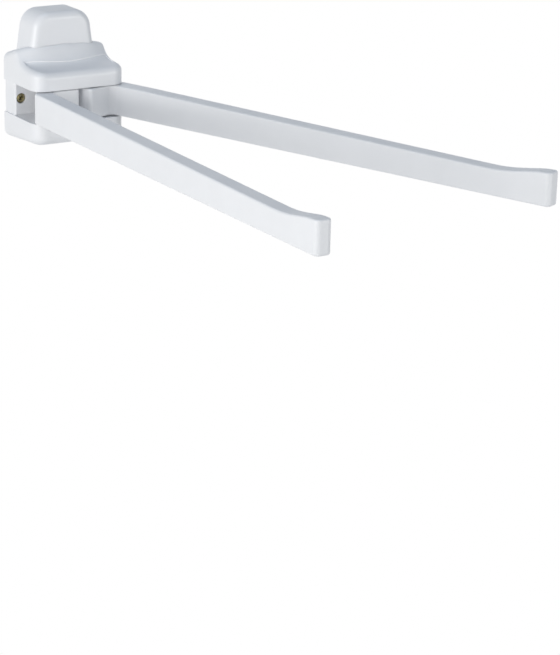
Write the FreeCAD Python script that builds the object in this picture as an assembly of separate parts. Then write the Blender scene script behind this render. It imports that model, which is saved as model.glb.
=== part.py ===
"""Swing arm towel bar: a wall bracket with two arms that swing on vertical pins.

Frame: millimetres, +Z up, the wall is the plane y = 0 and the arms point along -Y.
The origin is on the wall, half way across the bracket and level with the middle of the arms.
"""
import FreeCAD, Part

import math
import os

V = FreeCAD.Vector
os.makedirs("parts", exist_ok=True)

# ---------------------------------------------------------------- driving dimensions
# bracket
COVER_W = 80.0            # width of the hood and of the cup
COVER_D = 57.5            # how far both stand out from the wall
COVER_WALL = 2.4          # moulded wall of both covers
COVER_CORNER_R = 10.5     # upright front corners of both covers
COVER_WALL_GAP = 0.4      # covers stop just short of the wall
COVER_FIT = 0.4           # clearance between a cover and the wall base inside it

# hood; its top is lofted across the width, through sections at these shares of half the width
HOOD_SHARES = (0.0, 0.45, 0.68, 0.86, 1.03)
HOOD_FALLS = (0.0, 0.4, 1.3, 2.8, 4.8)     # how far the ridge has fallen at each share
HOOD_RISES = (0.0, 0.0, 0.3, 1.0, 1.8)     # how far the shelf has risen at each share
HOOD_SETBACKS = (0.0, 0.8, 3.0, 6.8, 11.0)  # how far ridge and crease have moved back at each share
HOOD_BACK_Z = 38.6        # top of the collar at the wall, in the middle
HOOD_RIDGE_Z = 42.4       # ridge in front of the upper block
HOOD_COLLAR_D = 28.6      # depth of the collar, from the wall to the ridge
HOOD_SWEEP_D = 8.0        # depth of the hollow sweep below the ridge
HOOD_CREASE_Z = 31.4      # back of the shelf, at the foot of the sweep
HOOD_LIP_Z = 25.0         # front of the shelf
HOOD_EDGE_R = 5.5         # rounding of the outer top edge
DISH_DEPTH = 0.8          # the shelf is sunk into the top
DISH_HALF_W = 36.0
DISH_BACK_Y = 28.8        # rear corners of the dish
DISH_LIP = 4.6            # rim left in front of the dish
DISH_CORNER_R = 14.0

# cup; its floor rises towards the front
CUP_BACK_H = 21.0
CUP_FRONT_H = 17.2
CUP_EDGE_R = 7.0
CUP_PAD_R = 6.0
CUP_PAD_T = 4.4           # floor thickness at the screw

# wall base
COLUMN_W = 77.0
COLUMN_D = 17.2
COLUMN_WALL = 3.0
COLUMN_EDGE_R = 1.6
PANEL_T = 3.0
PANEL_FRONT = 5.0         # front of the panel inside the covers, measured from the wall
SHELF_T = 4.0
SHELF_FRONT_GAP = 0.6     # between the front of a shelf and the inside of its cover
PIN_BOSS_R = 6.5
PIN_BOSS_H = 2.5
RIB_T = 2.0
RIB_INNER_X = 6.0
RIB_OUTER_X = 31.0
CORE_TOP_GAP = 2.2        # above the wall base, under the collar
CORE_BOTTOM_GAP = 5.0     # below the wall base, above the cup floor
SCREW_BOSS_R = 5.5
COLUMN_RIB_X = 12.0       # ribs behind the front of the column

# upper block of the wall base
BLOCK_TOP_Z = 69.0
BLOCK_FOOT_Z = 27.5       # inside the hood
BLOCK_FOOT_W = 59.6
BLOCK_HEAD_W = 47.6
BLOCK_D = 26.8
BLOCK_CORNER_R = 14.5
BLOCK_FRONT_R = 6.0
BLOCK_WALL = 2.6
BLOCK_GAP = 0.4           # between the block and the hood's opening

# catches that hold the covers
CATCH_Y0 = 8.0
CATCH_W = 7.0
CATCH_H = 3.0
CATCH_REACH = 1.3
CATCH_PLAY = 0.3
CATCH_LIFT = 7.0          # height of a catch above or below its shelf

# arms
ARM_REACH = 425.0         # pivot axis to tip
ARM_W = 14.6
ARM_TIP_W = 13.0
ARM_ROOT_H = 24.4
ARM_WAIST_H = 20.4        # just before the flare
ARM_TIP_H = 25.6
ARM_UNDER_RISE = 0.5      # how far the underside climbs towards the tip
ARM_FLARE = 55.0          # length of the upturned end
ARM_LEVEL_RUN = 22.0      # level top before the taper starts
ARM_OUTER_X = 21.5        # outer side face, outwards of the pivot axis
ARM_HEEL_Y = 13.8         # rear corner of that face, in front of the pivot axis
ARM_EDGE_R = 1.5
ARM_TIP_R = 4.0
ARM_SKIN = 2.3
ARM_RIB_T = 1.6
ARM_BAYS = 11
HUB_R = 10.5
HUB_CORE_R = 7.0
NOSE_Y = 14.0             # front face of the nose
NOSE_BACK_Y = 2.0         # rear end of the nose's flat inner side, behind the pivot axis
NOSE_CORNER_R = 2.5
NOSE_GAP = 1.3            # between the two noses, at the middle of the bracket
CROOK_R = 5.0             # hollow corner between nose and arm
RIGHT_ARM_SWING = 20.0    # degrees outwards, as shown

# pivots
PIVOT_X = 18.5
PIVOT_SETBACK = 15.5      # behind the front of the covers
PIN_R = 3.0
RUN_FIT = 0.05            # radial clearance of the pins in hubs and shelves
WASHER_R = 7.5
WASHER_T = 0.85
WASHER_FACE_GAP = 0.05
PIN_HEAD_R = 5.0
PIN_HEAD_H = 1.8
PIN_TAIL = 2.2            # below the clip
SPRING_T = 0.45
SPRING_RISE = 0.9
SPRING_R = 5.2
CLIP_T = 0.6
CLIP_R = 5.4
CLIP_MOUTH = 3.6
GROOVE_DEPTH = 0.7
GROOVE_PLAY = 0.1

# wall screws and plugs
WALL_SCREW_X = 33.0
WALL_SCREW_Z = 0.0        # level with the middle of the arms
WALL_SCREW_R = 2.25
WALL_SCREW_L = 30.0
WALL_SCREW_HEAD_R = 3.9
WALL_SCREW_HEAD_H = 2.6
WALL_SCREW_HOLE_PLAY = 0.25
WALL_SCREW_SINK = 3.4     # depth of the counterbore in the column
WALL_SCREW_SINK_PLAY = 0.35
PLUG_R = 3.0
PLUG_L = 36.0
PLUG_BORE_PLAY = 0.1
PLUG_RELIEF = 0.8         # room round the plug in the back of the boss
PLUG_SLOT_W = 0.8
PLUG_SLOT_START = 0.56    # the slots run between these shares of the plug's length
PLUG_SLOT_END = 0.90

# cover screw
COVER_SCREW_SETBACK = 21.5    # behind the front of the covers
COVER_SCREW_R = 1.75
COVER_SCREW_L = 11.0
COVER_SCREW_HEAD_R = 3.4
COVER_SCREW_HEAD_H = 2.0
COVER_SCREW_PLAY = 0.1
COVER_SCREW_SINK = 2.2
COVER_BOSS_R = 4.2

# ---------------------------------------------------------------- derived places
OPENING_H = ARM_ROOT_H + 2.0 * (WASHER_T + WASHER_FACE_GAP)    # mouth between hood and cup
MOUTH_TOP = OPENING_H / 2.0
MOUTH_BOTTOM = -OPENING_H / 2.0
PIVOT_Y = COVER_D - PIVOT_SETBACK
COVER_SCREW_Y = COVER_D - COVER_SCREW_SETBACK
CUP_BACK_Z = MOUTH_BOTTOM - CUP_BACK_H
CUP_RISE = (CUP_BACK_H - CUP_FRONT_H) / COVER_D
CUP_BOTTOM = CUP_BACK_Z + CUP_RISE * COVER_SCREW_Y    # at the screw
COVER_IN_W = COVER_W - 2.0 * COVER_WALL
CORE_W = COVER_IN_W - 2.0 * COVER_FIT
CORE_TOP = HOOD_BACK_Z - HOOD_FALLS[-1] - COVER_WALL - CORE_TOP_GAP
CORE_BOTTOM = CUP_BACK_Z + CUP_RISE * COLUMN_D + COVER_WALL + CORE_BOTTOM_GAP
SHELF_D = COVER_D - COVER_WALL - SHELF_FRONT_GAP
SHELF_TOP_Z = MOUTH_TOP + SHELF_T
SHELF_LOW_Z = MOUTH_BOTTOM - SHELF_T
BOSS_TOP_Z = SHELF_TOP_Z + PIN_BOSS_H
BOSS_LOW_Z = SHELF_LOW_Z - PIN_BOSS_H
PIN_HEAD_Z = BOSS_TOP_Z + SPRING_RISE + GROOVE_PLAY
NOSE_X = PIVOT_X - NOSE_GAP / 2.0
CUP_PAD_TOP = CUP_BOTTOM + CUP_PAD_T


# ---------------------------------------------------------------- small helpers
def box(x0, x1, y0, y1, z0, z1):
    """Box between two corners."""
    return Part.makeBox(x1 - x0, y1 - y0, z1 - z0, V(x0, y0, z0))


def rod(radius, x, y, z0, z1):
    """Upright cylinder."""
    return Part.makeCylinder(radius, z1 - z0, V(x, y, z0), V(0, 0, 1))


def disc(radius, x, y0, y1):
    """Cylinder along Y at the height of the wall screws."""
    return Part.makeCylinder(radius, y1 - y0, V(x, y0, WALL_SCREW_Z), V(0, 1, 0))


def polygon(points):
    """Closed flat face through the points."""
    return Part.Face(Part.makePolygon(points + [points[0]]))


def round_edges(shape, radius, wanted):
    """Round every edge that the test accepts."""
    return shape.makeFillet(radius, [e for e in shape.Edges if wanted(e)])


def upright(edge):
    """Straight edge along Z."""
    a, b = edge.Vertexes[0].Point, edge.Vertexes[-1].Point
    return abs(a.z - b.z) > 1.0 and (a - b).cross(V(0, 0, 1)).Length < 1e-6


def mirrored(shape):
    """The same shape on the other side of the bracket."""
    return shape.mirror(V(0, 0, 0), V(1, 0, 0))


def both_sides(shape):
    """The shape and its mirror image, joined."""
    return shape.fuse(mirrored(shape))


# ---------------------------------------------------------------- wall base
def block(grow):
    """Upper block: a rounded, slightly tapering slab; grow widens it all round."""
    foot = BLOCK_FOOT_W / 2.0 + grow
    head = BLOCK_HEAD_W / 2.0 + grow
    top = BLOCK_TOP_Z + grow
    low = BLOCK_FOOT_Z
    face = polygon([V(-foot, 0, low), V(foot, 0, low), V(head, 0, top), V(-head, 0, top)])
    slab = face.extrude(V(0, -BLOCK_D - grow, 0))
    slab = round_edges(slab, BLOCK_CORNER_R + grow, lambda e: on_head_corner(e, top))
    front = -BLOCK_D - grow
    return round_edges(slab, BLOCK_FRONT_R + grow, lambda e: on_front_rim(e, front, low))


def on_head_corner(edge, top):
    """Edge along Y at the head of the block."""
    a, b = edge.Vertexes[0].Point, edge.Vertexes[-1].Point
    return abs(a.y - b.y) > 1.0 and abs(a.z - top) < 0.01 and abs(b.z - top) < 0.01


def on_front_rim(edge, front, low):
    """Edge of the block's front face, apart from its foot."""
    flat = all(abs(v.Point.y - front) < 0.01 for v in edge.Vertexes)
    foot = all(abs(v.Point.z - low) < 0.01 for v in edge.Vertexes)
    return flat and not foot


def block_hollow():
    """Hollow of the upper block, open to the wall, with stiffening ribs left standing."""
    foot = BLOCK_FOOT_W / 2.0 - BLOCK_WALL
    head = BLOCK_HEAD_W / 2.0 - BLOCK_WALL
    top = BLOCK_TOP_Z - BLOCK_WALL
    low = CORE_TOP - COLUMN_WALL
    face = polygon([V(-foot, 0, low), V(foot, 0, low), V(head, 0, top), V(-head, 0, top)])
    room = face.extrude(V(0, -BLOCK_D + BLOCK_WALL, 0))
    inner_r = BLOCK_CORNER_R - BLOCK_WALL
    room = round_edges(room, inner_r, lambda e: on_head_corner(e, top))
    front = -BLOCK_D + BLOCK_WALL
    room = round_edges(room, BLOCK_FRONT_R - BLOCK_WALL, lambda e: on_front_rim(e, front, low))
    middle = (CORE_TOP + BLOCK_TOP_Z) / 2.0
    ribs = [box(-RIB_T / 2.0, RIB_T / 2.0, front - 1.0, -RIB_T, low - 1.0, top + 1.0)]
    ribs.append(box(-foot, foot, front - 1.0, -RIB_T, middle - RIB_T / 2.0, middle + RIB_T / 2.0))
    for rib in ribs:
        room = room.cut(rib)
    return room


def shelf(z0, z1):
    """Flat shelf that carries one end of both pins."""
    half = CORE_W / 2.0
    plate = box(-half, half, -SHELF_D, 0.0, z0, z1)
    corner = COVER_CORNER_R - COVER_WALL - COVER_FIT
    return round_edges(plate, corner, lambda e: upright(e) and e.Vertexes[0].Point.y < -1.0)


def upper_rib(x):
    """Web on top of the upper shelf, lower towards the front."""
    back_z = CORE_TOP - COLUMN_WALL
    front_z = SHELF_TOP_Z + 2.0
    outline = [V(x, -PANEL_FRONT, SHELF_TOP_Z), V(x, -PANEL_FRONT, back_z)]
    outline.append(V(x, -COLUMN_D + 2.0, back_z))
    outline.append(V(x, -COLUMN_D - 8.0, SHELF_TOP_Z + 7.0))
    outline.append(V(x, -SHELF_D + 4.0, front_z))
    outline.append(V(x, -SHELF_D + 4.0, SHELF_TOP_Z))
    return polygon(outline).extrude(V(RIB_T, 0, 0))


def lower_rib(x):
    """Web below the lower shelf."""
    outline = [V(x, -PANEL_FRONT, SHELF_LOW_Z), V(x, -PANEL_FRONT, CORE_BOTTOM)]
    outline.append(V(x, -COLUMN_D, CORE_BOTTOM))
    outline.append(V(x, -SHELF_D + 10.0, SHELF_LOW_Z - 2.0))
    outline.append(V(x, -SHELF_D + 10.0, SHELF_LOW_Z))
    return polygon(outline).extrude(V(RIB_T, 0, 0))


def catch_box(cover_side, low, high, play):
    """Space of one catch on the +X side; cover_side is where the cover's inner wall lies."""
    y0 = -CATCH_Y0 - CATCH_W - play
    return box(cover_side - CATCH_REACH - play, cover_side + 0.5, y0, -CATCH_Y0 + play,
               low - play, high + play)


def column_hollow():
    """Hollow of the column behind its front, with two ribs and the screw bosses left standing."""
    half = COLUMN_W / 2.0 - COLUMN_WALL
    depth = COLUMN_D - PANEL_T
    room = box(-half, half, -depth, 1.0, MOUTH_BOTTOM, MOUTH_TOP)
    rib = box(COLUMN_RIB_X, COLUMN_RIB_X + RIB_T, -depth - 1.0, -RIB_T, MOUTH_BOTTOM, MOUTH_TOP)
    boss = disc(SCREW_BOSS_R, WALL_SCREW_X, -depth - 1.0, -COVER_WALL_GAP)
    return room.cut(both_sides(rib)).cut(both_sides(boss))


def make_wall_base():
    """Moulding screwed to the wall: column, panel, two shelves and the upper block."""
    half = CORE_W / 2.0
    inner = half - COLUMN_WALL
    column_half = COLUMN_W / 2.0
    body = box(-half, half, -COLUMN_D, 0.0, CORE_BOTTOM, CORE_TOP)
    column = box(-column_half, column_half, -COLUMN_D, 0.0, MOUTH_BOTTOM, MOUTH_TOP)
    column = round_edges(column, COLUMN_EDGE_R, lambda e: upright(e) and e.Vertexes[0].Point.y < -1.0)
    body = body.fuse(column)
    body = body.fuse(block(0.0))
    # front pockets inside the hood and inside the cup
    deep = -COLUMN_D - 1.0
    high = CORE_TOP - COLUMN_WALL
    body = body.cut(box(-inner, inner, deep, -PANEL_FRONT, SHELF_TOP_Z, high))
    low = CORE_BOTTOM + COLUMN_WALL
    body = body.cut(box(-inner, inner, deep, -PANEL_FRONT, low, SHELF_LOW_Z))
    # shelves, pin bosses and webs
    body = body.fuse(shelf(MOUTH_TOP, SHELF_TOP_Z))
    body = body.fuse(shelf(SHELF_LOW_Z, MOUTH_BOTTOM))
    for side in (-1.0, 1.0):
        x = side * PIVOT_X
        body = body.fuse(rod(PIN_BOSS_R, x, -PIVOT_Y, MOUTH_TOP, BOSS_TOP_Z))
        body = body.fuse(rod(PIN_BOSS_R, x, -PIVOT_Y, BOSS_LOW_Z, MOUTH_BOTTOM))
    for x in (RIB_INNER_X, RIB_OUTER_X):
        body = body.fuse(both_sides(upper_rib(x - RIB_T / 2.0)))
        body = body.fuse(both_sides(lower_rib(x - RIB_T / 2.0)))
    body = body.fuse(rod(COVER_BOSS_R, 0.0, -COVER_SCREW_Y, CUP_PAD_TOP, SHELF_LOW_Z))
    # hollow back, open to the wall
    behind = PANEL_FRONT - PANEL_T
    body = body.cut(box(-inner, inner, -behind, 1.0, low, high))
    body = body.cut(block_hollow())
    body = body.cut(column_hollow())
    # bores and windows
    for side in (-1.0, 1.0):
        x = side * PIVOT_X
        body = body.cut(rod(PIN_R + RUN_FIT, x, -PIVOT_Y, BOSS_LOW_Z - 1.0, BOSS_TOP_Z + 1.0))
        x = side * WALL_SCREW_X
        body = body.cut(disc(WALL_SCREW_R + WALL_SCREW_HOLE_PLAY, x, -COLUMN_D - 1.0, 1.0))
        sink_r = WALL_SCREW_HEAD_R + WALL_SCREW_SINK_PLAY
        body = body.cut(disc(sink_r, x, -COLUMN_D - 1.0, -COLUMN_D + WALL_SCREW_SINK))
        body = body.cut(disc(PLUG_R + PLUG_RELIEF, x, -COVER_WALL_GAP, 1.0))
    pilot_top = SHELF_LOW_Z - 1.0
    body = body.cut(rod(COVER_SCREW_R + COVER_SCREW_PLAY, 0.0, -COVER_SCREW_Y, CUP_PAD_TOP - 1.0, pilot_top))
    window = catch_box(COVER_IN_W / 2.0, SHELF_TOP_Z + CATCH_LIFT, SHELF_TOP_Z + CATCH_LIFT + CATCH_H, CATCH_PLAY)
    window = window.fuse(catch_box(COVER_IN_W / 2.0, SHELF_LOW_Z - CATCH_LIFT + 1.0,
                                   SHELF_LOW_Z - CATCH_LIFT + 1.0 + CATCH_H, CATCH_PLAY))
    body = body.cut(both_sides(window))
    return body.removeSplitter()


# ---------------------------------------------------------------- covers
def hood_section(x, fall, rise, setback, inset):
    """Side view of the room above the hood's top, at one distance from the middle."""
    ridge = HOOD_RIDGE_Z - fall - inset
    crease = HOOD_CREASE_Z + rise * 0.55 - inset
    lip = HOOD_LIP_Z + rise - inset
    back = HOOD_BACK_Z - fall - inset
    y1 = -HOOD_COLLAR_D + setback + inset * 0.4
    y2 = y1 - HOOD_SWEEP_D
    y3 = -COVER_D
    slope = (lip - crease) / (y3 - y2)
    points = [V(x, 2.0, back), V(x, y1 * 0.5, back * 0.4 + ridge * 0.6), V(x, y1, ridge)]
    points.append(V(x, y1 - HOOD_SWEEP_D * 0.42, ridge * 0.52 + crease * 0.48))
    points.append(V(x, y2, crease))
    points.append(V(x, (y2 + y3) / 2.0, (crease + lip) / 2.0))
    points.append(V(x, y3 - 3.0, lip - 3.0 * slope))
    curve = Part.BSplineCurve()
    curve.interpolate(Points=points)
    high = HOOD_RIDGE_Z + 20.0
    last = points[-1]
    edges = [curve.toShape(), Part.makeLine(last, V(x, last.y, high))]
    edges.append(Part.makeLine(V(x, last.y, high), V(x, 2.0, high)))
    edges.append(Part.makeLine(V(x, 2.0, high), points[0]))
    return Part.Wire(edges)


def above_hood(inset):
    """Everything above the hood's top: a loft through its sections, from side to side."""
    half = COVER_W / 2.0 - inset
    rows = list(zip(HOOD_SHARES, HOOD_FALLS, HOOD_RISES, HOOD_SETBACKS))
    wires = [hood_section(-half * row[0], row[1], row[2], row[3], inset) for row in reversed(rows)]
    wires += [hood_section(half * row[0], row[1], row[2], row[3], inset) for row in rows[1:]]
    return Part.makeLoft(wires, True, False)


def hood_form(inset):
    """Outer form of the hood; with an inset it is the room inside."""
    half = COVER_W / 2.0 - inset
    front = COVER_D - inset
    low = MOUTH_TOP - (1.0 if inset else 0.0)
    back = -COVER_WALL_GAP + (1.0 if inset else 0.0)
    form = box(-half, half, -front, back, low, HOOD_RIDGE_Z + 10.0)
    corner = COVER_CORNER_R - inset
    form = round_edges(form, corner, lambda e: upright(e) and e.Vertexes[0].Point.y < -front + 0.01)
    form = form.cut(above_hood(inset))
    return round_edges(form, HOOD_EDGE_R - inset, lambda e: on_hood_rim(e, low, back))


def on_hood_rim(edge, low, back):
    """Outer top edge of the hood: both sides, both corners and the front."""
    z_low = min(v.Point.z for v in edge.Vertexes)
    at_back = all(abs(v.Point.y - back) < 0.01 for v in edge.Vertexes)
    return z_low > low + 3.0 and not at_back and not upright(edge)


def dish():
    """Room of the sunk shelf, shaped like a D with its straight side to the front."""
    half = DISH_HALF_W
    front = -COVER_D + DISH_LIP
    back = -HOOD_COLLAR_D - HOOD_SWEEP_D
    z = HOOD_LIP_Z - 6.0
    corners = [V(half, -DISH_BACK_Y, z), V(half, front, z), V(-half, front, z), V(-half, -DISH_BACK_Y, z)]
    edges = [Part.Arc(corners[3], V(0, back, z), corners[0]).toShape()]
    edges += [Part.makeLine(corners[i], corners[i + 1]) for i in range(3)]
    plan = Part.Face(Part.Wire(edges)).extrude(V(0, 0, HOOD_RIDGE_Z - z))
    plan = round_edges(plan, DISH_CORNER_R, lambda e: upright(e) and e.Vertexes[0].Point.y < front + 0.01)
    room = above_hood(0.0)
    room.translate(V(0, 0, -DISH_DEPTH))
    return room.common(plan)


def make_upper_cover():
    """Hood: rounded shell with a collar, a hollow sweep and a sloping dished shelf."""
    shell = hood_form(0.0).cut(hood_form(COVER_WALL))
    shell = shell.cut(dish())
    shell = shell.cut(block(BLOCK_GAP))
    lift = SHELF_TOP_Z + CATCH_LIFT
    catch = catch_box(COVER_IN_W / 2.0, lift, lift + CATCH_H, 0.0)
    return shell.fuse(both_sides(catch)).removeSplitter()


def cup_form(inset):
    """Outer form of the cup; with an inset it is the room inside."""
    half = COVER_W / 2.0 - inset
    front = COVER_D - inset
    high = MOUTH_BOTTOM + (1.0 if inset else 0.0)
    back = -COVER_WALL_GAP + (1.0 if inset else 0.0)
    side = [V(-half, y, cup_floor(y) + inset) for y in (back, -front)]
    side += [V(-half, -front, high), V(-half, back, high)]
    form = polygon(side).extrude(V(2.0 * half, 0, 0))
    corner = COVER_CORNER_R - inset
    form = round_edges(form, corner, lambda e: upright(e) and e.Vertexes[0].Point.y < -front + 0.01)
    return round_edges(form, CUP_EDGE_R - inset, lambda e: on_cup_rim(e, inset, back))


def cup_floor(y):
    """Height of the underside of the cup."""
    return CUP_BACK_Z - CUP_RISE * y


def on_cup_rim(edge, inset, back):
    """Lower outer edge of the cup, apart from the one along the wall."""
    at_floor = all(abs(v.Point.z - cup_floor(v.Point.y) - inset) < 0.01 for v in edge.Vertexes)
    at_back = all(abs(v.Point.y - back) < 0.01 for v in edge.Vertexes)
    return at_floor and not at_back


def make_lower_cover():
    """Cup: rounded shell held by two catches and one screw."""
    shell = cup_form(0.0).cut(cup_form(COVER_WALL))
    shell = shell.fuse(rod(CUP_PAD_R, 0.0, -COVER_SCREW_Y, CUP_BOTTOM + 1.0, CUP_PAD_TOP))
    sink_r = COVER_SCREW_HEAD_R + 0.5
    shell = shell.cut(rod(sink_r, 0.0, -COVER_SCREW_Y, CUP_BACK_Z - 1.0, CUP_BOTTOM + COVER_SCREW_SINK))
    hole_r = COVER_SCREW_R + COVER_SCREW_PLAY
    shell = shell.cut(rod(hole_r, 0.0, -COVER_SCREW_Y, CUP_BACK_Z - 1.0, CUP_PAD_TOP + 1.0))
    drop = SHELF_LOW_Z - CATCH_LIFT + 1.0
    catch = catch_box(COVER_IN_W / 2.0, drop, drop + CATCH_H, 0.0)
    return shell.fuse(both_sides(catch)).removeSplitter()


# ---------------------------------------------------------------- arms
def tangent_point(px, py, side):
    """Where the tangent from (px, py) touches the hub circle, on the given side."""
    far = math.hypot(px, py)
    swing = math.acos(HUB_R / far)
    angle = math.atan2(py, px) + side * swing
    return V(HUB_R * math.cos(angle), HUB_R * math.sin(angle), 0)


def inner_side(s):
    """Inner face of the bar at a distance from the pivot axis; it closes in towards the tip."""
    share = (s - NOSE_Y) / (ARM_REACH - NOSE_Y)
    return -ARM_OUTER_X + ARM_W - (ARM_W - ARM_TIP_W) * share


def root_outline():
    """Plan of an arm root: hub, heel running to the outer face, and the nose."""
    run = NOSE_Y + CROOK_R + ARM_LEVEL_RUN
    heel = V(-ARM_OUTER_X, -ARM_HEEL_Y, 0)
    back = V(NOSE_X, NOSE_BACK_Y, 0)
    outline = [V(-ARM_OUTER_X, -run, 0), heel, tangent_point(heel.x, heel.y, -1.0)]
    outline += [V(0, 0, 0), tangent_point(back.x, back.y, 1.0), back, V(NOSE_X, -NOSE_Y, 0)]
    outline += [V(inner_side(NOSE_Y), -NOSE_Y, 0), V(inner_side(run), -run, 0)]
    return outline


def root_solid(z0, z1, grow):
    """Arm root as a solid; a negative grow gives the core that is hollowed out."""
    flat = polygon(root_outline())
    flat.translate(V(0, 0, z0))
    solid = flat.extrude(V(0, 0, z1 - z0)).fuse(rod(HUB_R, 0.0, 0.0, z0, z1)).removeSplitter()
    solid = round_edges(solid, NOSE_CORNER_R, lambda e: near_upright(e, NOSE_X, -NOSE_Y))
    solid = round_edges(solid, NOSE_CORNER_R, lambda e: near_upright(e, NOSE_X, NOSE_BACK_Y))
    solid = round_edges(solid, CROOK_R, lambda e: near_upright(e, inner_side(NOSE_Y), -NOSE_Y))
    solid = round_edges(solid, NOSE_CORNER_R, lambda e: near_upright(e, -ARM_OUTER_X, -ARM_HEEL_Y))
    if grow == 0.0:
        return solid
    base = [f for f in solid.Faces if f.normalAt(0, 0).z < -0.99][0]
    core = base.makeOffset2D(grow).extrude(V(0, 0, z1 - z0))
    return core


def near_upright(edge, x, y):
    """Upright edge that stands at (x, y)."""
    p = edge.Vertexes[0].Point
    return upright(edge) and math.hypot(p.x - x, p.y - y) < 0.05


def bar_face(x, start, skin):
    """Side view of the bar: level root, tapering run and upturned end."""
    half = ARM_ROOT_H / 2.0
    bottom = -half
    waist_s = ARM_REACH - ARM_FLARE
    top = half - skin
    waist = bottom + ARM_WAIST_H - skin
    tip = bottom + ARM_TIP_H - skin
    end = ARM_REACH - skin
    level = NOSE_Y + CROOK_R + ARM_LEVEL_RUN
    fall = (waist - top) / (waist_s - level)
    rise = tip - waist
    low = bottom - (1.0 if skin else 0.0)
    under = low + ARM_UNDER_RISE
    curve = Part.BSplineCurve()
    knots = [V(x, -waist_s, waist), V(x, -waist_s - ARM_FLARE * 0.32, waist + rise * 0.15)]
    knots.append(V(x, -waist_s - ARM_FLARE * 0.60, waist + rise * 0.58))
    knots.append(V(x, -waist_s - ARM_FLARE * 0.82, waist + rise * 0.90))
    knots.append(V(x, -end, tip))
    curve.interpolate(Points=knots, InitialTangent=V(0, -1, fall), FinalTangent=V(0, -1, 0.08))
    first = min(start, level)
    edges = [Part.makeLine(V(x, -first, low), V(x, -first, top))]
    edges.append(Part.makeLine(V(x, -first, top), V(x, -level, top)))
    edges.append(Part.makeLine(V(x, -level, top), V(x, -waist_s, waist)))
    edges.append(curve.toShape())
    edges.append(Part.makeLine(V(x, -end, tip), V(x, -end, under)))
    edges.append(Part.makeLine(V(x, -end, under), V(x, -level, low)))
    edges.append(Part.makeLine(V(x, -level, low), V(x, -first, low)))
    return Part.Face(Part.Wire(edges))


def bar_plan(start, skin):
    """Plan of the bar."""
    end = ARM_REACH - skin
    outer = -ARM_OUTER_X + skin
    z = -ARM_ROOT_H
    outline = [V(outer, -start, z), V(outer, -end, z), V(inner_side(end) - skin, -end, z)]
    outline.append(V(inner_side(start) - skin, -start, z))
    return polygon(outline).extrude(V(0, 0, 2.0 * ARM_ROOT_H))


def bar_solid():
    """The bar with its end rounded."""
    start = NOSE_Y + CROOK_R
    bar = bar_face(-ARM_OUTER_X, start, 0.0).extrude(V(ARM_W, 0, 0)).common(bar_plan(start, 0.0))
    return round_edges(bar, ARM_TIP_R, lambda e: upright(e) and e.Vertexes[0].Point.y < -ARM_REACH + 0.01)


def on_long_edge(edge):
    """Top and bottom edges of an arm, round the tip and the root as well."""
    return not upright(edge) and edge.Length > 0.2 and not across_bar(edge)


def across_bar(edge):
    """Edge that crosses the bar, where two stretches of its top meet."""
    a, b = edge.Vertexes[0].Point, edge.Vertexes[-1].Point
    wide = abs(a.x - b.x) > ARM_TIP_W * 0.9 and abs(a.y - b.y) < 0.01
    return wide and -ARM_REACH + 1.0 < edge.CenterOfMass.y < -NOSE_Y - CROOK_R


def bar_hollow():
    """Underside channel of the bar, parted by cross ribs."""
    start = NOSE_Y + CROOK_R + ARM_LEVEL_RUN - ARM_SKIN + ARM_RIB_T
    room = bar_face(-ARM_OUTER_X + ARM_SKIN, start, ARM_SKIN).extrude(V(ARM_W - 2.0 * ARM_SKIN, 0, 0))
    room = room.common(bar_plan(start, ARM_SKIN))
    pitch = (ARM_REACH - ARM_SKIN - start) / ARM_BAYS
    for i in range(1, ARM_BAYS):
        y = -start - i * pitch
        room = room.cut(box(-ARM_OUTER_X, 0.0, y - ARM_RIB_T / 2.0, y + ARM_RIB_T / 2.0, -ARM_ROOT_H, ARM_ROOT_H))
    return room


def make_arm():
    """Left arm about its own pivot axis, pointing straight out from the wall."""
    half = ARM_ROOT_H / 2.0
    root = root_solid(-half, half, 0.0)
    arm = root.fuse(bar_solid()).removeSplitter()
    arm = round_edges(arm, ARM_EDGE_R, on_long_edge)
    arm = arm.cut(bar_hollow())
    core = root_solid(-half - 1.0, half - ARM_SKIN, -ARM_SKIN)
    core = core.cut(rod(HUB_CORE_R, 0.0, 0.0, -half - 2.0, half))
    arm = arm.cut(core)
    return arm.cut(rod(PIN_R + RUN_FIT, 0.0, 0.0, -half - 1.0, half + 1.0))


def placed(shape, side):
    """Put a shape made about a pivot axis on that side's pivot; side is -1 left, +1 right."""
    copy = shape.copy()
    if side > 0:
        copy = mirrored(copy)
        copy.rotate(V(0, 0, 0), V(0, 0, 1), RIGHT_ARM_SWING)
    copy.translate(V(side * PIVOT_X, -PIVOT_Y, 0))
    return copy


# ---------------------------------------------------------------- pivots
def make_pin():
    """Steel pin with a domed head and a groove for its clip."""
    tail = BOSS_LOW_Z - CLIP_T - 2.0 * GROOVE_PLAY - PIN_TAIL
    pin = rod(PIN_R, 0.0, 0.0, tail, PIN_HEAD_Z + 0.5)
    pin = round_edges(pin, 0.6, lambda e: abs(e.CenterOfMass.z - tail) < 0.01 and e.Closed)
    head = rod(PIN_HEAD_R, 0.0, 0.0, PIN_HEAD_Z, PIN_HEAD_Z + PIN_HEAD_H)
    head = round_edges(head, 1.1, lambda e: abs(e.CenterOfMass.z - PIN_HEAD_Z - PIN_HEAD_H) < 0.01 and e.Closed)
    pin = pin.fuse(head)
    z1 = BOSS_LOW_Z - GROOVE_PLAY / 2.0
    z0 = z1 - CLIP_T - GROOVE_PLAY
    groove = rod(PIN_R + 1.0, 0.0, 0.0, z0, z1).cut(rod(PIN_R - GROOVE_DEPTH, 0.0, 0.0, z0, z1))
    return pin.cut(groove).removeSplitter()


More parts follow.
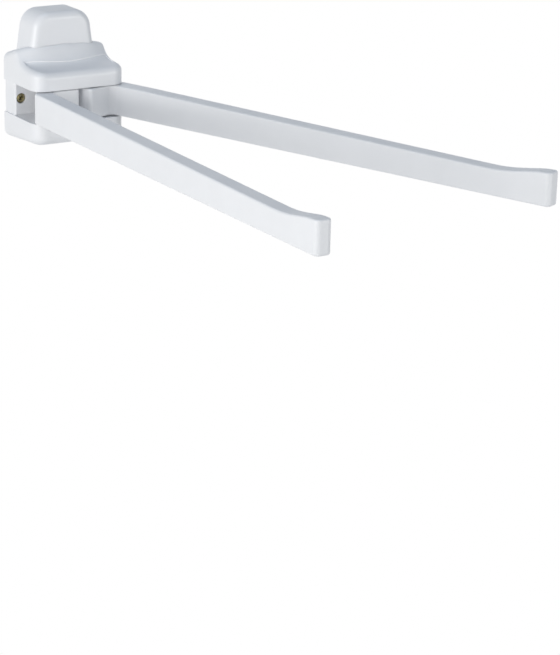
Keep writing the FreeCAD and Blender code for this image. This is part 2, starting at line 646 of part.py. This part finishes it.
def make_clip():
    """Push-on clip that sits in the groove below the lower shelf."""
    z1 = BOSS_LOW_Z - GROOVE_PLAY
    z0 = z1 - CLIP_T
    ring = rod(CLIP_R, 0.0, 0.0, z0, z1)
    ring = ring.cut(rod(PIN_R - GROOVE_DEPTH + RUN_FIT, 0.0, 0.0, z0 - 1.0, z1 + 1.0))
    ring = ring.cut(box(-CLIP_MOUTH / 2.0, CLIP_MOUTH / 2.0, -CLIP_R - 1.0, 0.0, z0 - 1.0, z1 + 1.0))
    for side in (-1.0, 1.0):
        ring = ring.cut(rod(0.9, side * (PIN_R + 0.9), 0.6, z0 - 1.0, z1 + 1.0))
    return ring


def make_washer(z0, z1):
    """Thrust washer between a shelf and a hub."""
    ring = rod(WASHER_R, 0.0, 0.0, z0, z1)
    return ring.cut(rod(PIN_R + 2.0 * RUN_FIT, 0.0, 0.0, z0 - 1.0, z1 + 1.0))


def make_spring():
    """Conical disc spring under the pin head."""
    inner = PIN_R + 0.2
    z = BOSS_TOP_Z
    rise = SPRING_RISE - SPRING_T
    outline = [V(inner, 0, z + rise), V(SPRING_R, 0, z), V(SPRING_R, 0, z + SPRING_T)]
    outline.append(V(inner, 0, z + rise + SPRING_T))
    return polygon(outline).revolve(V(0, 0, 0), V(0, 0, 1), 360)


# ---------------------------------------------------------------- screws and plugs
def cross_recess(radius, depth):
    """Cross-shaped driver recess, opening along -Z from z = 0 downwards."""
    arm = box(-radius, radius, -radius * 0.22, radius * 0.22, -depth, 1.0)
    other = box(-radius * 0.22, radius * 0.22, -radius, radius, -depth, 1.0)
    heart = Part.makeCone(radius * 0.25, radius * 0.5, depth, V(0, 0, -depth), V(0, 0, 1))
    return arm.fuse(other).fuse(heart)


def screw_solid(shank_r, length, head_r, head_h):
    """Pan-head screw along -Z: the head's seat is at z = 0 and the shank below it."""
    head = rod(head_r, 0.0, 0.0, 0.0, head_h)
    head = round_edges(head, head_h * 0.7, lambda e: e.Closed and abs(e.CenterOfMass.z - head_h) < 0.01)
    recess = cross_recess(head_r * 0.62, head_h * 0.65)
    recess.translate(V(0, 0, head_h))
    head = head.cut(recess)
    point = shank_r * 1.6
    shank = rod(shank_r, 0.0, 0.0, -length + point, 0.2)
    tip = Part.makeCone(0.2, shank_r, point, V(0, 0, -length), V(0, 0, 1))
    return head.fuse(shank).fuse(tip).removeSplitter()


def make_wall_screw(side):
    """Wall screw through the back panel into its plug."""
    screw = screw_solid(WALL_SCREW_R, WALL_SCREW_L, WALL_SCREW_HEAD_R, WALL_SCREW_HEAD_H)
    screw.rotate(V(0, 0, 0), V(0, 0, 1), 45)
    screw.rotate(V(0, 0, 0), V(1, 0, 0), 90)
    screw.translate(V(side * WALL_SCREW_X, -COLUMN_D + WALL_SCREW_SINK, WALL_SCREW_Z))
    return screw


def make_wall_plug(side):
    """Split nylon plug in the wall."""
    x = side * WALL_SCREW_X
    bore_l = WALL_SCREW_L - COLUMN_D + WALL_SCREW_SINK + 0.3
    plug = disc(PLUG_R, x, 0.0, PLUG_L)
    plug = plug.cut(disc(WALL_SCREW_R + PLUG_BORE_PLAY, x, 0.0, bore_l))
    y0 = PLUG_L * PLUG_SLOT_START
    y1 = PLUG_L * PLUG_SLOT_END
    z = WALL_SCREW_Z
    far = PLUG_R + 1.0
    plug = plug.cut(box(x - PLUG_SLOT_W / 2.0, x + PLUG_SLOT_W / 2.0, y0, y1, z - far, z + far))
    return plug.cut(box(x - far, x + far, y0, y1, z - PLUG_SLOT_W / 2.0, z + PLUG_SLOT_W / 2.0))


def make_cover_screw():
    """Screw that holds the cup, driven from below."""
    screw = screw_solid(COVER_SCREW_R, COVER_SCREW_L, COVER_SCREW_HEAD_R, COVER_SCREW_HEAD_H)
    screw.rotate(V(0, 0, 0), V(1, 0, 0), 180)
    screw.translate(V(0, -COVER_SCREW_Y, CUP_BOTTOM + COVER_SCREW_SINK))
    return screw


# ---------------------------------------------------------------- build
def save(name, shape):
    """Write one piece."""
    shape.exportStep("parts/" + name + ".step")
    print(name, len(shape.Solids), round(shape.Volume, 1), shape.isValid())


def main():
    save("wall_base", make_wall_base())
    save("upper_cover", make_upper_cover())
    save("lower_cover", make_lower_cover())
    save("cover_screw", make_cover_screw())
    arm = make_arm()
    pin = make_pin()
    clip = make_clip()
    spring = make_spring()
    half = ARM_ROOT_H / 2.0
    high = make_washer(half + WASHER_FACE_GAP, MOUTH_TOP)
    low = make_washer(MOUTH_BOTTOM, -half - WASHER_FACE_GAP)
    for name, side in (("left", -1.0), ("right", 1.0)):
        save(name + "_arm", placed(arm, side))
        for part, shape in (("pivot_pin", pin), ("pin_clip", clip), ("disc_spring", spring),
                            ("upper_washer", high), ("lower_washer", low)):
            copy = shape.copy()
            copy.translate(V(side * PIVOT_X, -PIVOT_Y, 0))
            save(name + "_" + part, copy)
        save(name + "_wall_screw", make_wall_screw(side))
        save(name + "_wall_plug", make_wall_plug(side))


main()
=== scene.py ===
# %% [markdown]
# # Swing arm towel bar
# A white moulded bracket is screwed to a wall, and two flat arms swing sideways on steel pins in
# its mouth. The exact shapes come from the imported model, the frame, in metres: the wall is the
# plane y = 0, the arms point along -Y and the origin is level with the middle of the arms.
# This lesson photographs those pieces: it sets the camera and the light, gives every piece its
# finish, and adds the small things that a moulder or a screw maker would add last.

# %% Load the frame
import math

import bmesh
import bpy
from mathutils import Matrix, Vector


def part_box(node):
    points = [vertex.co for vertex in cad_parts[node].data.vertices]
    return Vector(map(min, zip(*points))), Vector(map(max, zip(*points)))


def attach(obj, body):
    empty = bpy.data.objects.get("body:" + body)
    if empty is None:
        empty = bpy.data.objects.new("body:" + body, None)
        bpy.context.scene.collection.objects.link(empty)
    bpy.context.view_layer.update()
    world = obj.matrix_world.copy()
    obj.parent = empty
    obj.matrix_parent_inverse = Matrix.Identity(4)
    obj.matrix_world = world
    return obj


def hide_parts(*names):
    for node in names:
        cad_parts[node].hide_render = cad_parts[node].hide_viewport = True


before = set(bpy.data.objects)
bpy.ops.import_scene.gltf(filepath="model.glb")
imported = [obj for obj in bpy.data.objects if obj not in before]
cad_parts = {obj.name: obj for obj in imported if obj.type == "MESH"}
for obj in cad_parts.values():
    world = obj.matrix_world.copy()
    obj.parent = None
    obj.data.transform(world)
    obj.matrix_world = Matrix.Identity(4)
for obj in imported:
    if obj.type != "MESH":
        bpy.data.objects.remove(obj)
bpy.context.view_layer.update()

MM = 0.001

# %% [markdown]
# ## The camera
# The picture is taken from the left front with a long lens, a little above the bracket, so
# upright edges stay nearly upright. The camera's place, the point that it looks at and a small
# roll say everything. The picture is taller than wide, and Blender's automatic sensor measures
# the longer side, so the lens is the focal length in pixels times 36 mm over the picture height.

# %% Camera
PICTURE_HEIGHT_PX = 655
SENSOR_MM = 36.0
FOCAL_PX = 2467.74
CAMERA_PLACE = Vector((-0.87472, -1.75989, 0.44696))
CAMERA_AIM = Vector((0.13271, -0.14949, -0.17890))
CAMERA_ROLL_DEG = 1.426
CLIP_NEAR = 0.05
CLIP_FAR = 100.0


def make_camera():
    """The camera, aimed at a point and rolled about its own axis."""
    lens = bpy.data.cameras.new("camera")
    lens.sensor_width = SENSOR_MM
    lens.lens = FOCAL_PX * SENSOR_MM / PICTURE_HEIGHT_PX
    lens.clip_start = CLIP_NEAR
    lens.clip_end = CLIP_FAR
    camera = bpy.data.objects.new("camera", lens)
    bpy.context.scene.collection.objects.link(camera)
    aim = (CAMERA_AIM - CAMERA_PLACE).to_track_quat("-Z", "Y").to_matrix().to_4x4()
    roll = Matrix.Rotation(math.radians(CAMERA_ROLL_DEG), 4, "Z")
    camera.matrix_world = Matrix.Translation(CAMERA_PLACE) @ aim @ roll
    bpy.context.scene.camera = camera
    return camera


camera = make_camera()
print("lens: %.1f mm" % camera.data.lens)

# %% [markdown]
# ## The white surroundings
# The picture's background is plain white, yet a white room would also flood the part with light.
# The Light Path node keeps the two apart: rays that come straight from the camera, or by way of
# a reflection or glass, meet a strength of 1, which is white, and all other rays meet a weak,
# slightly bluish light that only lifts the shadows.

# %% World
WORLD_LIGHT = 0.25
WORLD_TINT = (0.80, 0.90, 1.0, 1.0)
WHITE = (1.0, 1.0, 1.0, 1.0)


def seen_directly(tree):
    """1 for rays from the camera and in reflections or glass, else 0."""
    path = tree.nodes.new("ShaderNodeLightPath")
    first = tree.nodes.new("ShaderNodeMath")
    first.operation = "MAXIMUM"
    second = tree.nodes.new("ShaderNodeMath")
    second.operation = "MAXIMUM"
    tree.links.new(path.outputs["Is Camera Ray"], first.inputs[0])
    tree.links.new(path.outputs["Is Glossy Ray"], first.inputs[1])
    tree.links.new(first.outputs[0], second.inputs[0])
    tree.links.new(path.outputs["Is Transmission Ray"], second.inputs[1])
    return second.outputs[0]


def make_world():
    """White world that lights the part at a plain level."""
    world = bpy.data.worlds.new("studio")
    world.use_nodes = True
    tree = world.node_tree
    tree.nodes.clear()
    lit = tree.nodes.new("ShaderNodeBackground")
    lit.inputs["Color"].default_value = WORLD_TINT
    lit.inputs["Strength"].default_value = WORLD_LIGHT
    seen = tree.nodes.new("ShaderNodeBackground")
    seen.inputs["Color"].default_value = WHITE
    seen.inputs["Strength"].default_value = 1.0
    mix = tree.nodes.new("ShaderNodeMixShader")
    out = tree.nodes.new("ShaderNodeOutputWorld")
    tree.links.new(seen_directly(tree), mix.inputs[0])
    tree.links.new(lit.outputs[0], mix.inputs[1])
    tree.links.new(seen.outputs[0], mix.inputs[2])
    tree.links.new(mix.outputs[0], out.inputs[0])
    bpy.context.scene.world = world
    return world


bpy.context.scene.view_settings.view_transform = "Standard"
print("world:", make_world().name, "at a strength of", WORLD_LIGHT)

# %% [markdown]
# ## Floor and wall
# A towel bar hangs about a metre above the floor, so the floor lies that far down and its shadow
# falls out of the picture. The wall is a white sheet close behind the bracket, which hides the
# plugs and the screws' shanks as a real wall does. A sheet has one side only: from behind the
# wall, or from under the floor, it isn't there, and the part is seen whole. The white that a
# sheet shows is also kept out of Cycles' list of lamps, where it would only add noise.

# %% Backdrop finish
def one_sided(tree, shader):
    """The shader on a face's front, and nothing at all on its back."""
    side = tree.nodes.new("ShaderNodeNewGeometry")
    clear = tree.nodes.new("ShaderNodeBsdfTransparent")
    mix = tree.nodes.new("ShaderNodeMixShader")
    tree.links.new(side.outputs["Backfacing"], mix.inputs[0])
    tree.links.new(shader, mix.inputs[1])
    tree.links.new(clear.outputs[0], mix.inputs[2])
    return mix.outputs[0]


def white_sheet(name, unlit):
    """Finish of a backdrop: white where it is seen, the unlit shader for all other rays."""
    finish = bpy.data.materials.new(name)
    finish.use_nodes = True
    finish.cycles.emission_sampling = "NONE"
    tree = finish.node_tree
    tree.nodes.clear()
    plain = tree.nodes.new(unlit)
    seen = tree.nodes.new("ShaderNodeEmission")
    seen.inputs["Strength"].default_value = 1.0
    mix = tree.nodes.new("ShaderNodeMixShader")
    out = tree.nodes.new("ShaderNodeOutputMaterial")
    tree.links.new(seen_directly(tree), mix.inputs[0])
    tree.links.new(plain.outputs[0], mix.inputs[1])
    tree.links.new(seen.outputs[0], mix.inputs[2])
    tree.links.new(one_sided(tree, mix.outputs[0]), out.inputs[0])
    return finish


floor_white = white_sheet("floor_white", "ShaderNodeBsdfDiffuse")
wall_white = white_sheet("wall_white", "ShaderNodeBsdfTransparent")
print("backdrops:", floor_white.name, wall_white.name)

# %% Floor and wall
FLOOR_Z = -1.0
FLOOR_HALF = 30.0
WALL_Y = 0.0005
WALL_HALF = -FLOOR_Z
LYING = Matrix.Identity(4)
UPRIGHT = Matrix.Rotation(math.radians(90.0), 4, "X")


def make_sheet(name, half, turn, place, finish):
    """Square backdrop, turned and put in its place."""
    shape = bmesh.new()
    bmesh.ops.create_grid(shape, x_segments=1, y_segments=1, size=half)
    bmesh.ops.transform(shape, matrix=Matrix.Translation(place) @ turn, verts=shape.verts)
    mesh = bpy.data.meshes.new(name)
    shape.to_mesh(mesh)
    shape.free()
    mesh.materials.append(finish)
    sheet = bpy.data.objects.new(name, mesh)
    bpy.context.scene.collection.objects.link(sheet)


make_sheet("floor", FLOOR_HALF, LYING, (0.0, 0.0, FLOOR_Z), floor_white)
make_sheet("wall", WALL_HALF, UPRIGHT, (0.0, WALL_Y, 0.0), wall_white)
print("floor at", FLOOR_Z, "m, wall at", WALL_Y, "m")

# %% [markdown]
# ## Lamps
# Four large soft lamps shine at the arms' roots. The key and the edge lamp stand at the left,
# which makes the left sides the brightest faces. The fill lamp stands in front on the right and
# keeps the fronts and the far sides from going grey. Overhead is only a weak bluish lamp, so the
# tops are a cooler white.

# %% Lamps
DAYLIGHT = (1.0, 0.985, 0.96)
SKY_BLUE = (0.55, 0.72, 1.0)
LAMP_SIZE = 1.4
LAMP_TARGET = Vector((0.0, -0.1, 0.0))
LAMPS = {  # place in metres, watts, colour
    "key": ((-2.4, -1.2, 0.3), 35.0, DAYLIGHT),
    "edge": ((-2.6, -0.2, 0.5), 15.0, DAYLIGHT),
    "fill": ((1.4, -2.5, 0.15), 23.0, DAYLIGHT),
    "top": ((0.0, -0.2, 2.6), 8.0, SKY_BLUE),
}


def soft_lamp(name, place, watts, colour):
    """Square area lamp that shines at the arms' roots."""
    lamp = bpy.data.lights.new(name, "AREA")
    lamp.shape = "SQUARE"
    lamp.size = LAMP_SIZE
    lamp.energy = watts
    lamp.color = colour
    holder = bpy.data.objects.new(name, lamp)
    bpy.context.scene.collection.objects.link(holder)
    turn = (LAMP_TARGET - Vector(place)).to_track_quat("-Z", "Y").to_matrix().to_4x4()
    holder.matrix_world = Matrix.Translation(place) @ turn


for name, (place, watts, colour) in LAMPS.items():
    soft_lamp(name, place, watts, colour)
print("lamps:", ", ".join(LAMPS))

# %% [markdown]
# ## Finishes
# A finish is a Principled shader with three noises on Object coordinates, so that the pattern
# stays on the piece when it moves: one drifts the colour, one the roughness and one the height.
# A noise keeps mostly to its middle values, so those are mapped to the wanted range, with a
# smooth step at both ends that leaves no edge where the range stops.

# %% Noise and its range
NOISE_LOW = 0.3
NOISE_HIGH = 0.7
FINE_DETAIL = 3.0


def noise(tree, coordinates, scale, detail=FINE_DETAIL):
    """Noise on the given coordinates; scale is in features per metre."""
    node = tree.nodes.new("ShaderNodeTexNoise")
    node.inputs["Scale"].default_value = scale
    node.inputs["Detail"].default_value = detail
    tree.links.new(coordinates, node.inputs["Vector"])
    return node.outputs["Fac"]


def spread(tree, value, low, high):
    """Map the middle of a noise to a range."""
    node = tree.nodes.new("ShaderNodeMapRange")
    node.interpolation_type = "SMOOTHERSTEP"
    node.inputs["From Min"].default_value = NOISE_LOW
    node.inputs["From Max"].default_value = NOISE_HIGH
    node.inputs["To Min"].default_value = low
    node.inputs["To Max"].default_value = high
    tree.links.new(value, node.inputs["Value"])
    return node.outputs["Result"]


print("the middle of a noise:", NOISE_LOW, "to", NOISE_HIGH)

# %% Colour, bump and an empty finish
def two_colours(tree, value, first, second):
    """Colour between two, by a value from 0 to 1."""
    node = tree.nodes.new("ShaderNodeMix")
    node.data_type = "RGBA"
    node.inputs["A"].default_value = (*first, 1.0)
    node.inputs["B"].default_value = (*second, 1.0)
    tree.links.new(value, node.inputs["Factor"])
    return node.outputs["Result"]


def add_bump(tree, shader, height, strength, depth):
    """Bump of a given depth in metres."""
    node = tree.nodes.new("ShaderNodeBump")
    node.inputs["Strength"].default_value = strength
    node.inputs["Distance"].default_value = depth
    tree.links.new(height, node.inputs["Height"])
    tree.links.new(node.outputs["Normal"], shader.inputs["Normal"])


def new_finish(name):
    """Empty material with a Principled shader and Object coordinates."""
    finish = bpy.data.materials.new(name)
    finish.use_nodes = True
    tree = finish.node_tree
    shader = tree.nodes["Principled BSDF"]
    place = tree.nodes.new("ShaderNodeTexCoord")
    return finish, tree, shader, place.outputs["Object"]


print("finishes are measured in metres, so a millimetre is", MM)

# %% [markdown]
# ## Plastics
# The bracket and the arms are moulded in one white plastic with a satin gloss. Such a surface is
# never quite even: the mould's polish varies, the skin has a faint orange peel, and the colour
# drifts by a percent. The roughness of the white stays above 0.3 all over, because a sharper
# gloss turns every change of the noise into a line of light. The washers are natural acetal and
# the wall plugs grey nylon, both duller than the bracket.

# %% Moulded plastics
PLASTIC_IOR = 1.52
DRIFT_SCALE = 35.0
POLISH_SCALE = 60.0
POLISH_DETAIL = 2.0
PEEL_SCALE = 140.0
PEEL_DETAIL = 0.0
PEEL_DEPTH = 0.02 * MM


def moulded_plastic(name, light, dark, rough_low, rough_high, peel):
    """Satin moulded plastic: faint drift of colour, uneven polish and orange peel."""
    finish, tree, shader, place = new_finish(name)
    drift = spread(tree, noise(tree, place, DRIFT_SCALE), 0.0, 1.0)
    tree.links.new(two_colours(tree, drift, light, dark), shader.inputs["Base Color"])
    polish = noise(tree, place, POLISH_SCALE, POLISH_DETAIL)
    tree.links.new(spread(tree, polish, rough_low, rough_high), shader.inputs["Roughness"])
    shader.inputs["IOR"].default_value = PLASTIC_IOR
    add_bump(tree, shader, noise(tree, place, PEEL_SCALE, PEEL_DETAIL), peel, PEEL_DEPTH)
    return finish


cover_white = moulded_plastic(
    "cover_white", (0.850, 0.858, 0.880), (0.838, 0.846, 0.868), 0.31, 0.38, 0.10)
arm_white = moulded_plastic(
    "arm_white", (0.852, 0.860, 0.882), (0.838, 0.846, 0.868), 0.33, 0.40, 0.10)
washer_acetal = moulded_plastic(
    "washer_acetal", (0.78, 0.77, 0.72), (0.74, 0.73, 0.68), 0.38, 0.48, 0.15)
plug_grey = moulded_plastic(
    "plug_grey", (0.42, 0.43, 0.45), (0.36, 0.37, 0.39), 0.45, 0.6, 0.3)
print("plastics:", cover_white.name, arm_white.name, washer_acetal.name, plug_grey.name)

# %% [markdown]
# ## Metals
# The screws are zinc plated and passivated yellow, which is a thin uneven film that leans to
# green in places. The pins are drawn steel with fine marks, and the clips and disc springs are
# dark spring steel. One recipe serves all three: a cloud of two colours, a roughness that
# changes on a finer scale than the cloud, and marks that are finer still.

# %% Plated and drawn metals
ROUGH_PER_CLOUD = 2.5
MARK_DETAIL = 2.0
MARK_STRENGTH = 0.4
MARK_DEPTH = 0.01 * MM


def plated_metal(name, light, dark, rough_low, rough_high, cloud, mark):
    """Metal with a clouded film and fine marks; cloud and mark are features per metre."""
    finish, tree, shader, place = new_finish(name)
    film = spread(tree, noise(tree, place, cloud), 0.0, 1.0)
    tree.links.new(two_colours(tree, film, light, dark), shader.inputs["Base Color"])
    rough = spread(tree, noise(tree, place, cloud * ROUGH_PER_CLOUD), rough_low, rough_high)
    tree.links.new(rough, shader.inputs["Roughness"])
    shader.inputs["Metallic"].default_value = 1.0
    add_bump(tree, shader, noise(tree, place, mark, MARK_DETAIL), MARK_STRENGTH, MARK_DEPTH)
    return finish


zinc_yellow = plated_metal(
    "zinc_yellow", (0.38, 0.32, 0.16), (0.28, 0.26, 0.16), 0.32, 0.45, 500.0, 3000.0)
pin_steel = plated_metal(
    "pin_steel", (0.62, 0.63, 0.65), (0.54, 0.55, 0.57), 0.22, 0.32, 300.0, 5000.0)
spring_steel = plated_metal(
    "spring_steel", (0.24, 0.24, 0.25), (0.18, 0.18, 0.20), 0.30, 0.42, 300.0, 5000.0)
print("metals:", zinc_yellow.name, pin_steel.name, spring_steel.name)

# %% [markdown]
# ## Dressing the frame
# Every solid of the frame keeps its shape and gets its finish in its object's own material
# slots. The left and the right of a pair share one finish, so the side is taken off the name.

# %% Finishes on the pieces
FINISHES = {
    "wall_base": cover_white,
    "upper_cover": cover_white,
    "lower_cover": cover_white,
    "arm": arm_white,
    "pivot_pin": pin_steel,
    "pin_clip": spring_steel,
    "disc_spring": spring_steel,
    "upper_washer": washer_acetal,
    "lower_washer": washer_acetal,
    "wall_screw": zinc_yellow,
    "cover_screw": zinc_yellow,
    "wall_plug": plug_grey,
}


def finish_of(node):
    """The finish of a node, whichever side it is on."""
    kind = node.replace("left_", "").replace("right_", "")
    return FINISHES[kind]


for name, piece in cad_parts.items():
    for slot in piece.material_slots:
        slot.material = finish_of(name)
print("dressed:", len(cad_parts))

# %% [markdown]
# ## Screws
# A pan head screw is a turned shape with a cross recess pressed into its head. The turned part
# is a profile spun once round the axis. The recess is a plus-shaped punch, a cube with four
# faces drawn out and its far end drawn in, that is taken from the head. The real shank has a
# thread below its plain neck. It is out of sight in the plug or in the bracket, so only its
# thinner core is turned here, and the pieces keep the word threaded in their names. Each screw
# is made upright, head down, and then laid where the frame has it.

# %% Turning a profile
AXIS = (0.0, 0.0, 1.0)
MIDDLE = (0.0, 0.0, 0.0)
SPIN_STEPS = 40
MERGE = 0.002 * MM


def turned(profile):
    """Closed shape from a profile of (radius, height) in millimetres, both ends on the axis."""
    shape = bmesh.new()
    corners = [shape.verts.new((r * MM, 0.0, z * MM)) for r, z in profile]
    lines = [shape.edges.new(pair) for pair in zip(corners, corners[1:])]
    bmesh.ops.spin(shape, geom=corners + lines, cent=MIDDLE, axis=AXIS, dvec=MIDDLE,
                   angle=math.tau, steps=SPIN_STEPS, use_merge=True)
    bmesh.ops.remove_doubles(shape, verts=shape.verts, dist=MERGE)
    bmesh.ops.recalc_face_normals(shape, faces=shape.faces)
    return shape


trial = turned([(0, 0), (1, 0), (1, 1), (0, 1)])
print("a turned disc has", len(trial.faces), "faces")
trial.free()

# %% A plus-shaped punch
OVERSHOOT = 0.4


def cross_punch(reach, width, depth, taper):
    """Plus-shaped punch with its mouth at height zero; taper is the share left at its far end."""
    shape = bmesh.new()
    bmesh.ops.create_cube(shape, size=width * MM)
    bmesh.ops.scale(shape, vec=(1.0, 1.0, (depth + OVERSHOOT) / width), verts=shape.verts)
    bmesh.ops.translate(shape, vec=(0.0, 0.0, (depth - OVERSHOOT) / 2.0 * MM), verts=shape.verts)
    sides = [f for f in shape.faces if abs(f.normal.z) < 0.5]
    for side in sides:
        away = side.normal.copy()
        drawn = bmesh.ops.extrude_discrete_faces(shape, faces=[side])["faces"]
        bmesh.ops.translate(shape, vec=away * (reach - width / 2.0) * MM, verts=drawn[0].verts)
    deep = [v for v in shape.verts if v.co.z > depth / 2.0 * MM]
    bmesh.ops.scale(shape, vec=(taper, taper, 1.0), verts=deep)
    bmesh.ops.recalc_face_normals(shape, faces=shape.faces)
    return shape


print("the punch stands", OVERSHOOT, "mm out of the mouth that it cuts")

# %% [markdown]
# ## Cutting and placing
# The recess and the slots are cut by a Boolean modifier, whose result is read from the evaluated
# object and kept as the piece's own mesh, so that nothing live is left on it. The object stays
# at the origin and the mesh itself is moved, as with the pieces of the frame. Shading is smooth
# up to a set angle, which keeps a turned side round and a cut edge crisp. The piece then stands
# for its node, rides with the bracket, which never moves, and says which material it is.

# %% From bmesh to a finished piece
SHARP_ANGLE_DEG = 32.0


def as_object(shape, name):
    """Object at the origin that holds the shape."""
    mesh = bpy.data.meshes.new(name)
    shape.to_mesh(mesh)
    shape.free()
    piece = bpy.data.objects.new(name, mesh)
    bpy.context.scene.collection.objects.link(piece)
    return piece


def cut_with(piece, punch):
    """Take one shape from another and drop the punch."""
    cut = piece.modifiers.new("cut", "BOOLEAN")
    cut.operation = "DIFFERENCE"
    cut.solver = "EXACT"
    cut.object = punch
    ready = piece.evaluated_get(bpy.context.evaluated_depsgraph_get())
    mesh = bpy.data.meshes.new_from_object(ready)
    piece.modifiers.clear()
    piece.data = mesh
    mesh.name = piece.name
    bpy.data.objects.remove(punch)
    return piece


def settle(piece, place, finish, node):
    """Lay the mesh in its place and let it stand for a node of the frame."""
    piece.data.transform(place)
    piece.data.materials.clear()
    piece.data.materials.append(finish)
    piece.data.shade_smooth()
    piece.data.set_sharp_from_angle(angle=math.radians(SHARP_ANGLE_DEG))
    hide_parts(node)
    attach(piece, "bracket")
    print(piece.name, len(piece.data.polygons), "faces")


print("edges sharper than", SHARP_ANGLE_DEG, "degrees stay sharp")

# %% [markdown]
# ## The screw's proportions
# Pan head screws of all sizes look alike, so one function makes both sizes from a head, a shank
# and a length. The dome's widths, the core, the point and the recess are shares of those. The
# dome's heights, the chamfer, the fillet and the step to the core are the same on both, in
# millimetres.

# %% A pan head screw
DOME = ((0.0, 0.12), (0.45, 0.14), (0.75, 0.38), (0.93, 0.85), (1.0, 1.4))  # share, height
RIM_CHAMFER = 0.2
NECK_FILLET = 0.25
CORE_STEP = 0.5
CORE_SHARE = 0.72  # of the shank's radius
POINT_SHARE = 2.2  # of the shank's radius
RECESS_REACH = 0.60  # of the head's radius
RECESS_WIDTH = 0.40  # of the head's radius
RECESS_DEPTH = 0.88  # of the head's height
RECESS_TAPER = 0.2


def pan_head_screw(name, head_r, head_h, shank_r, length, plain):
    """Screw along +Z, its head's top at height zero; sizes in millimetres."""
    core = shank_r * CORE_SHARE
    end = head_h + length
    profile = [(head_r * share, height) for share, height in DOME]
    profile += [(head_r, head_h - RIM_CHAMFER), (head_r - RIM_CHAMFER, head_h)]
    profile += [(shank_r + NECK_FILLET, head_h), (shank_r, head_h + NECK_FILLET)]
    profile += [(shank_r, head_h + plain), (core, head_h + plain + CORE_STEP)]
    profile += [(core, end - shank_r * POINT_SHARE), (0, end)]
    piece = as_object(turned(profile), name)
    punch = cross_punch(
        head_r * RECESS_REACH, head_r * RECESS_WIDTH, head_h * RECESS_DEPTH, RECESS_TAPER)
    return cut_with(piece, as_object(punch, "punch"))


print("the head's dome is %.2f mm high" % (DOME[-1][1] - DOME[0][1]))

# %% Screws in the wall and in the cup
WALL_SCREW = {"head_r": 3.9, "head_h": 2.6, "shank_r": 2.25, "length": 30.0, "plain": 12.0}
COVER_SCREW = {"head_r": 3.4, "head_h": 2.0, "shank_r": 1.75, "length": 11.0, "plain": 1.5}
INTO_WALL = Matrix.Rotation(math.radians(-90.0), 4, "X")
RECESS_TURN = Matrix.Rotation(math.radians(38.0), 4, "Z")


def front_middle(node):
    """The middle of the front of a node's box."""
    low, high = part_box(node)
    return Vector(((low[0] + high[0]) / 2.0, low[1], (low[2] + high[2]) / 2.0))


for side in ("left", "right"):
    place = Matrix.Translation(front_middle(side + "_wall_screw")) @ INTO_WALL @ RECESS_TURN
    screw = pan_head_screw(side + "_wall_screw_threaded", **WALL_SCREW)
    settle(screw, place, zinc_yellow, side + "_wall_screw")

low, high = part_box("cover_screw")
bottom_middle = Vector(((low[0] + high[0]) / 2.0, (low[1] + high[1]) / 2.0, low[2]))
cup_screw = pan_head_screw("cover_screw_threaded", **COVER_SCREW)
settle(cup_screw, Matrix.Translation(bottom_middle), zinc_yellow, "cover_screw")

# %% [markdown]
# ## Wall plugs
# A nylon plug grips by its barbs and by spreading: its outside is a row of saw teeth that slide in
# one way, it has a bore for the screw, and two crossed slots let its far half open into wings.
# The teeth and the bore come from one spun profile, and the slots are cut by a plus-shaped punch
# with straight sides, moved along the plug to where the wings begin.

# %% Plugs
PLUG_R = 3.0
PLUG_L = 36.0
PLUG_BORE_R = 2.35
PLUG_BORE_L = 16.6
BORE_POINT = 1.2
COLLAR_L = 1.2
COLLAR_END = 1.8  # where the slope from the collar down to the valley ends
TEETH = 11
TOOTH_START = 3.2
TOOTH_PITCH = 2.7
TOOTH_DEPTH = 0.35
TOOTH_RISE = 0.15
TOOTH_RUN = 1.9
CREST_GAP = 0.02
TIP = ((0.5, 2.6), (1.2, 0.4))  # how far in from the radius, how far back from the end
SLOT_START = 20.5
SLOT_L = 12.0
SLOT_WIDTH = 0.8
SLOT_PAST = 1.0


def ribbed_plug(name):
    """Plug along +Z, its mouth at height zero; sizes in millimetres."""
    valley = PLUG_R - TOOTH_DEPTH
    profile = [(0, PLUG_BORE_L + BORE_POINT), (PLUG_BORE_R, PLUG_BORE_L), (PLUG_BORE_R, 0.0)]
    profile += [(PLUG_R, 0.0), (PLUG_R, COLLAR_L), (valley, COLLAR_END)]
    for i in range(TEETH):
        z = TOOTH_START + i * TOOTH_PITCH
        profile += [(valley, z), (PLUG_R - CREST_GAP, z + TOOTH_RISE), (valley, z + TOOTH_RUN)]
    profile += [(PLUG_R - inward, PLUG_L - back) for inward, back in TIP]
    profile += [(0, PLUG_L)]
    piece = as_object(turned(profile), name)
    slots = cross_punch(PLUG_R + SLOT_PAST, SLOT_WIDTH, SLOT_L, 1.0)
    bmesh.ops.translate(slots, vec=(0.0, 0.0, SLOT_START * MM), verts=slots.verts)
    return cut_with(piece, as_object(slots, "punch"))


for side in ("left", "right"):
    place = Matrix.Translation(front_middle(side + "_wall_plug")) @ INTO_WALL
    plug = ribbed_plug(side + "_wall_plug_ribbed")
    settle(plug, place, plug_grey, side + "_wall_plug")
